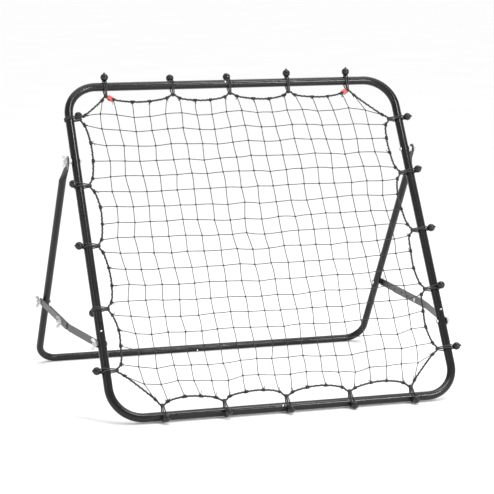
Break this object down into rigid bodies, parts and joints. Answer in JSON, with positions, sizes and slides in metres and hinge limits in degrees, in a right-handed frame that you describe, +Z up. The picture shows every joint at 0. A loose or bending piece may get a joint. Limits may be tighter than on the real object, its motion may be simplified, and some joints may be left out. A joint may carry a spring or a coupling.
{
  "type": "pitch back rebounder",
  "caption": "Leaning square tube frame that holds a knotted net on ball bungees, with a folding rear leg frame and flat side braces, to throw a ball back to the player.",
  "frame": {"origin": "on the floor, below the middle of the whole object's box", "axes": "+X to the right along the level tubes as the player sees it, +Y from the player's side to the back, +Z up"},
  "size_m": [1.053, 0.8244, 0.8455],
  "materials": {
    "tube_coat": "gloss black powder coat",
    "snap_steel": "polished steel",
    "spring_steel": "plain spring steel",
    "bright_zinc": "bright zinc plate",
    "bolt_zinc": "zinc plate",
    "white_spacer": "plain white nylon",
    "black_spacer": "black nylon",
    "strip_steel": "satin grey steel strip",
    "bungee_ball": "gloss moulded black",
    "bungee_cord": "braided elastic cord sheath",
    "border_rope": "twisted polyester rope",
    "net_twine": "knotted polyethylene twine",
    "marker_tag": "red woven tag"
  },
  "bodies": {
    "front_frame": {"border_rope": "border_rope", "brace_front_bolt_left": "bolt_zinc", "brace_front_bolt_right": "bolt_zinc", "bungee_bottom_1": "bungee_ball", "bungee_bottom_2": "bungee_ball", "bungee_bottom_3": "bungee_ball", "bungee_bottom_4": "bungee_ball", "bungee_bottom_5": "bungee_ball", "bungee_left_1": "bungee_ball", "bungee_left_2": "bungee_ball", "bungee_left_3": "bungee_ball", "bungee_left_4": "bungee_ball", "bungee_left_5": "bungee_ball", "bungee_right_1": "bungee_ball", "bungee_right_2": "bungee_ball", "bungee_right_3": "bungee_ball", "bungee_right_4": "bungee_ball", "bungee_right_5": "bungee_ball", "bungee_top_1": "bungee_ball", "bungee_top_2": "bungee_ball", "bungee_top_3": "bungee_ball", "bungee_top_4": "bungee_ball", "bungee_top_5": "bungee_ball", "front_snap_springs": "spring_steel", "front_tube_lower_left": "tube_coat", "front_tube_lower_right": "tube_coat", "front_tube_upper_left": "tube_coat", "front_tube_upper_right": "tube_coat", "hinge_bolt_left": "bolt_zinc", "hinge_bolt_right": "bolt_zinc", "hinge_spacer_left": "white_spacer", "hinge_spacer_right": "white_spacer", "net": "net_twine"},
    "rear_frame": {"brace_rear_bolt_left": "bolt_zinc", "brace_rear_bolt_right": "bolt_zinc", "brace_rear_spacer_left": "black_spacer", "brace_rear_spacer_right": "black_spacer", "rear_snap_spring": "spring_steel", "rear_tube_left": "tube_coat", "rear_tube_right": "tube_coat"},
    "brace_front_left": {"brace_elbow_bolt_left": "bolt_zinc", "brace_front_strip_left": "strip_steel"},
    "brace_front_right": {"brace_elbow_bolt_right": "bolt_zinc", "brace_front_strip_right": "strip_steel"},
    "brace_elbow_wing_nut_left": {"brace_elbow_wing_nut_left": "bright_zinc"},
    "brace_elbow_wing_nut_right": {"brace_elbow_wing_nut_right": "bright_zinc"},
    "brace_front_wing_nut_left": {"brace_front_wing_nut_left": "bright_zinc"},
    "brace_front_wing_nut_right": {"brace_front_wing_nut_right": "bright_zinc"},
    "brace_rear_left": {"brace_rear_strip_left": "strip_steel"},
    "brace_rear_right": {"brace_rear_strip_right": "strip_steel"},
    "brace_rear_wing_nut_left": {"brace_rear_wing_nut_left": "bright_zinc"},
    "brace_rear_wing_nut_right": {"brace_rear_wing_nut_right": "bright_zinc"},
    "front_snap_button_bottom": {"front_snap_button_bottom": "snap_steel"},
    "front_snap_button_left": {"front_snap_button_left": "snap_steel"},
    "front_snap_button_right": {"front_snap_button_right": "snap_steel"},
    "front_snap_button_top": {"front_snap_button_top": "snap_steel"},
    "hinge_wing_nut_left": {"hinge_wing_nut_left": "bright_zinc"},
    "hinge_wing_nut_right": {"hinge_wing_nut_right": "bright_zinc"},
    "rear_snap_button": {"rear_snap_button": "snap_steel"}
  },
  "joints": [
    {"name": "rear_frame_fold", "type": "hinge", "parent": "front_frame", "child": "rear_frame", "pos_m": [0, 0.00529, 0.62545], "axis": [-1, 0, 0], "range_deg": [0, 55]},
    {"name": "brace_front_left_turn", "type": "hinge", "parent": "front_frame", "child": "brace_front_left", "pos_m": [-0.4803, -0.26762, 0.1887], "axis": [1, 0, 0], "range_deg": [0, 52.49]},
    {"name": "brace_rear_left_turn", "type": "hinge", "parent": "rear_frame", "child": "brace_rear_left", "pos_m": [-0.5101, 0.27902, 0.20106], "axis": [-1, 0, 0], "range_deg": [0, 54.14]},
    {"name": "brace_front_right_turn", "type": "hinge", "parent": "front_frame", "child": "brace_front_right", "pos_m": [0.4803, -0.26762, 0.1887], "axis": [1, 0, 0], "range_deg": [0, 52.49]},
    {"name": "brace_rear_right_turn", "type": "hinge", "parent": "rear_frame", "child": "brace_rear_right", "pos_m": [0.5101, 0.27902, 0.20106], "axis": [-1, 0, 0], "range_deg": [0, 54.14]},
    {"name": "hinge_wing_nut_left_spin", "type": "hinge", "parent": "front_frame", "child": "hinge_wing_nut_left", "pos_m": [-0.4907, 0.00529, 0.62545], "axis": [-1, 0, 0], "continuous": true},
    {"name": "brace_front_wing_nut_left_spin", "type": "hinge", "parent": "front_frame", "child": "brace_front_wing_nut_left", "pos_m": [-0.4829, -0.26762, 0.1887], "axis": [-1, 0, 0], "continuous": true},
    {"name": "brace_rear_wing_nut_left_spin", "type": "hinge", "parent": "rear_frame", "child": "brace_rear_wing_nut_left", "pos_m": [-0.5127, 0.27902, 0.20106], "axis": [-1, 0, 0], "continuous": true},
    {"name": "brace_elbow_wing_nut_left_spin", "type": "hinge", "parent": "brace_rear_left", "child": "brace_elbow_wing_nut_left", "pos_m": [-0.5127, 0.0107, 0.19499], "axis": [-1, 0, 0], "continuous": true},
    {"name": "hinge_wing_nut_right_spin", "type": "hinge", "parent": "front_frame", "child": "hinge_wing_nut_right", "pos_m": [0.4907, 0.00529, 0.62545], "axis": [1, 0, 0], "continuous": true},
    {"name": "brace_front_wing_nut_right_spin", "type": "hinge", "parent": "front_frame", "child": "brace_front_wing_nut_right", "pos_m": [0.4829, -0.26762, 0.1887], "axis": [1, 0, 0], "continuous": true},
    {"name": "brace_rear_wing_nut_right_spin", "type": "hinge", "parent": "rear_frame", "child": "brace_rear_wing_nut_right", "pos_m": [0.5127, 0.27902, 0.20106], "axis": [1, 0, 0], "continuous": true},
    {"name": "brace_elbow_wing_nut_right_spin", "type": "hinge", "parent": "brace_rear_right", "child": "brace_elbow_wing_nut_right", "pos_m": [0.5127, 0.0107, 0.19499], "axis": [1, 0, 0], "continuous": true},
    {"name": "front_snap_button_bottom_press", "type": "slide", "parent": "front_frame", "child": "front_snap_button_bottom", "axis": [0, 0.848, -0.5299], "range_m": [0, 0.003], "stiffness_N_per_m": 600, "springref_m": -0.003},
    {"name": "front_snap_button_left_press", "type": "slide", "parent": "front_frame", "child": "front_snap_button_left", "axis": [0, 0.848, -0.5299], "range_m": [0, 0.003], "stiffness_N_per_m": 600, "springref_m": -0.003},
    {"name": "front_snap_button_right_press", "type": "slide", "parent": "front_frame", "child": "front_snap_button_right", "axis": [0, 0.848, -0.5299], "range_m": [0, 0.003], "stiffness_N_per_m": 600, "springref_m": -0.003},
    {"name": "front_snap_button_top_press", "type": "slide", "parent": "front_frame", "child": "front_snap_button_top", "axis": [0, 0.848, -0.5299], "range_m": [0, 0.003], "stiffness_N_per_m": 600, "springref_m": -0.003},
    {"name": "rear_snap_button_press", "type": "slide", "parent": "rear_frame", "child": "rear_snap_button", "axis": [0, 0.8404, 0.542], "range_m": [0, 0.003], "stiffness_N_per_m": 600, "springref_m": -0.003}
  ],
  "couplings": [
    {"joint": "brace_front_left_turn", "follows": "rear_frame_fold", "ratio": 0.95427},
    {"joint": "brace_rear_left_turn", "follows": "rear_frame_fold", "ratio": 0.98425},
    {"joint": "brace_front_right_turn", "follows": "rear_frame_fold", "ratio": 0.95427},
    {"joint": "brace_rear_right_turn", "follows": "rear_frame_fold", "ratio": 0.98425}
  ]
}
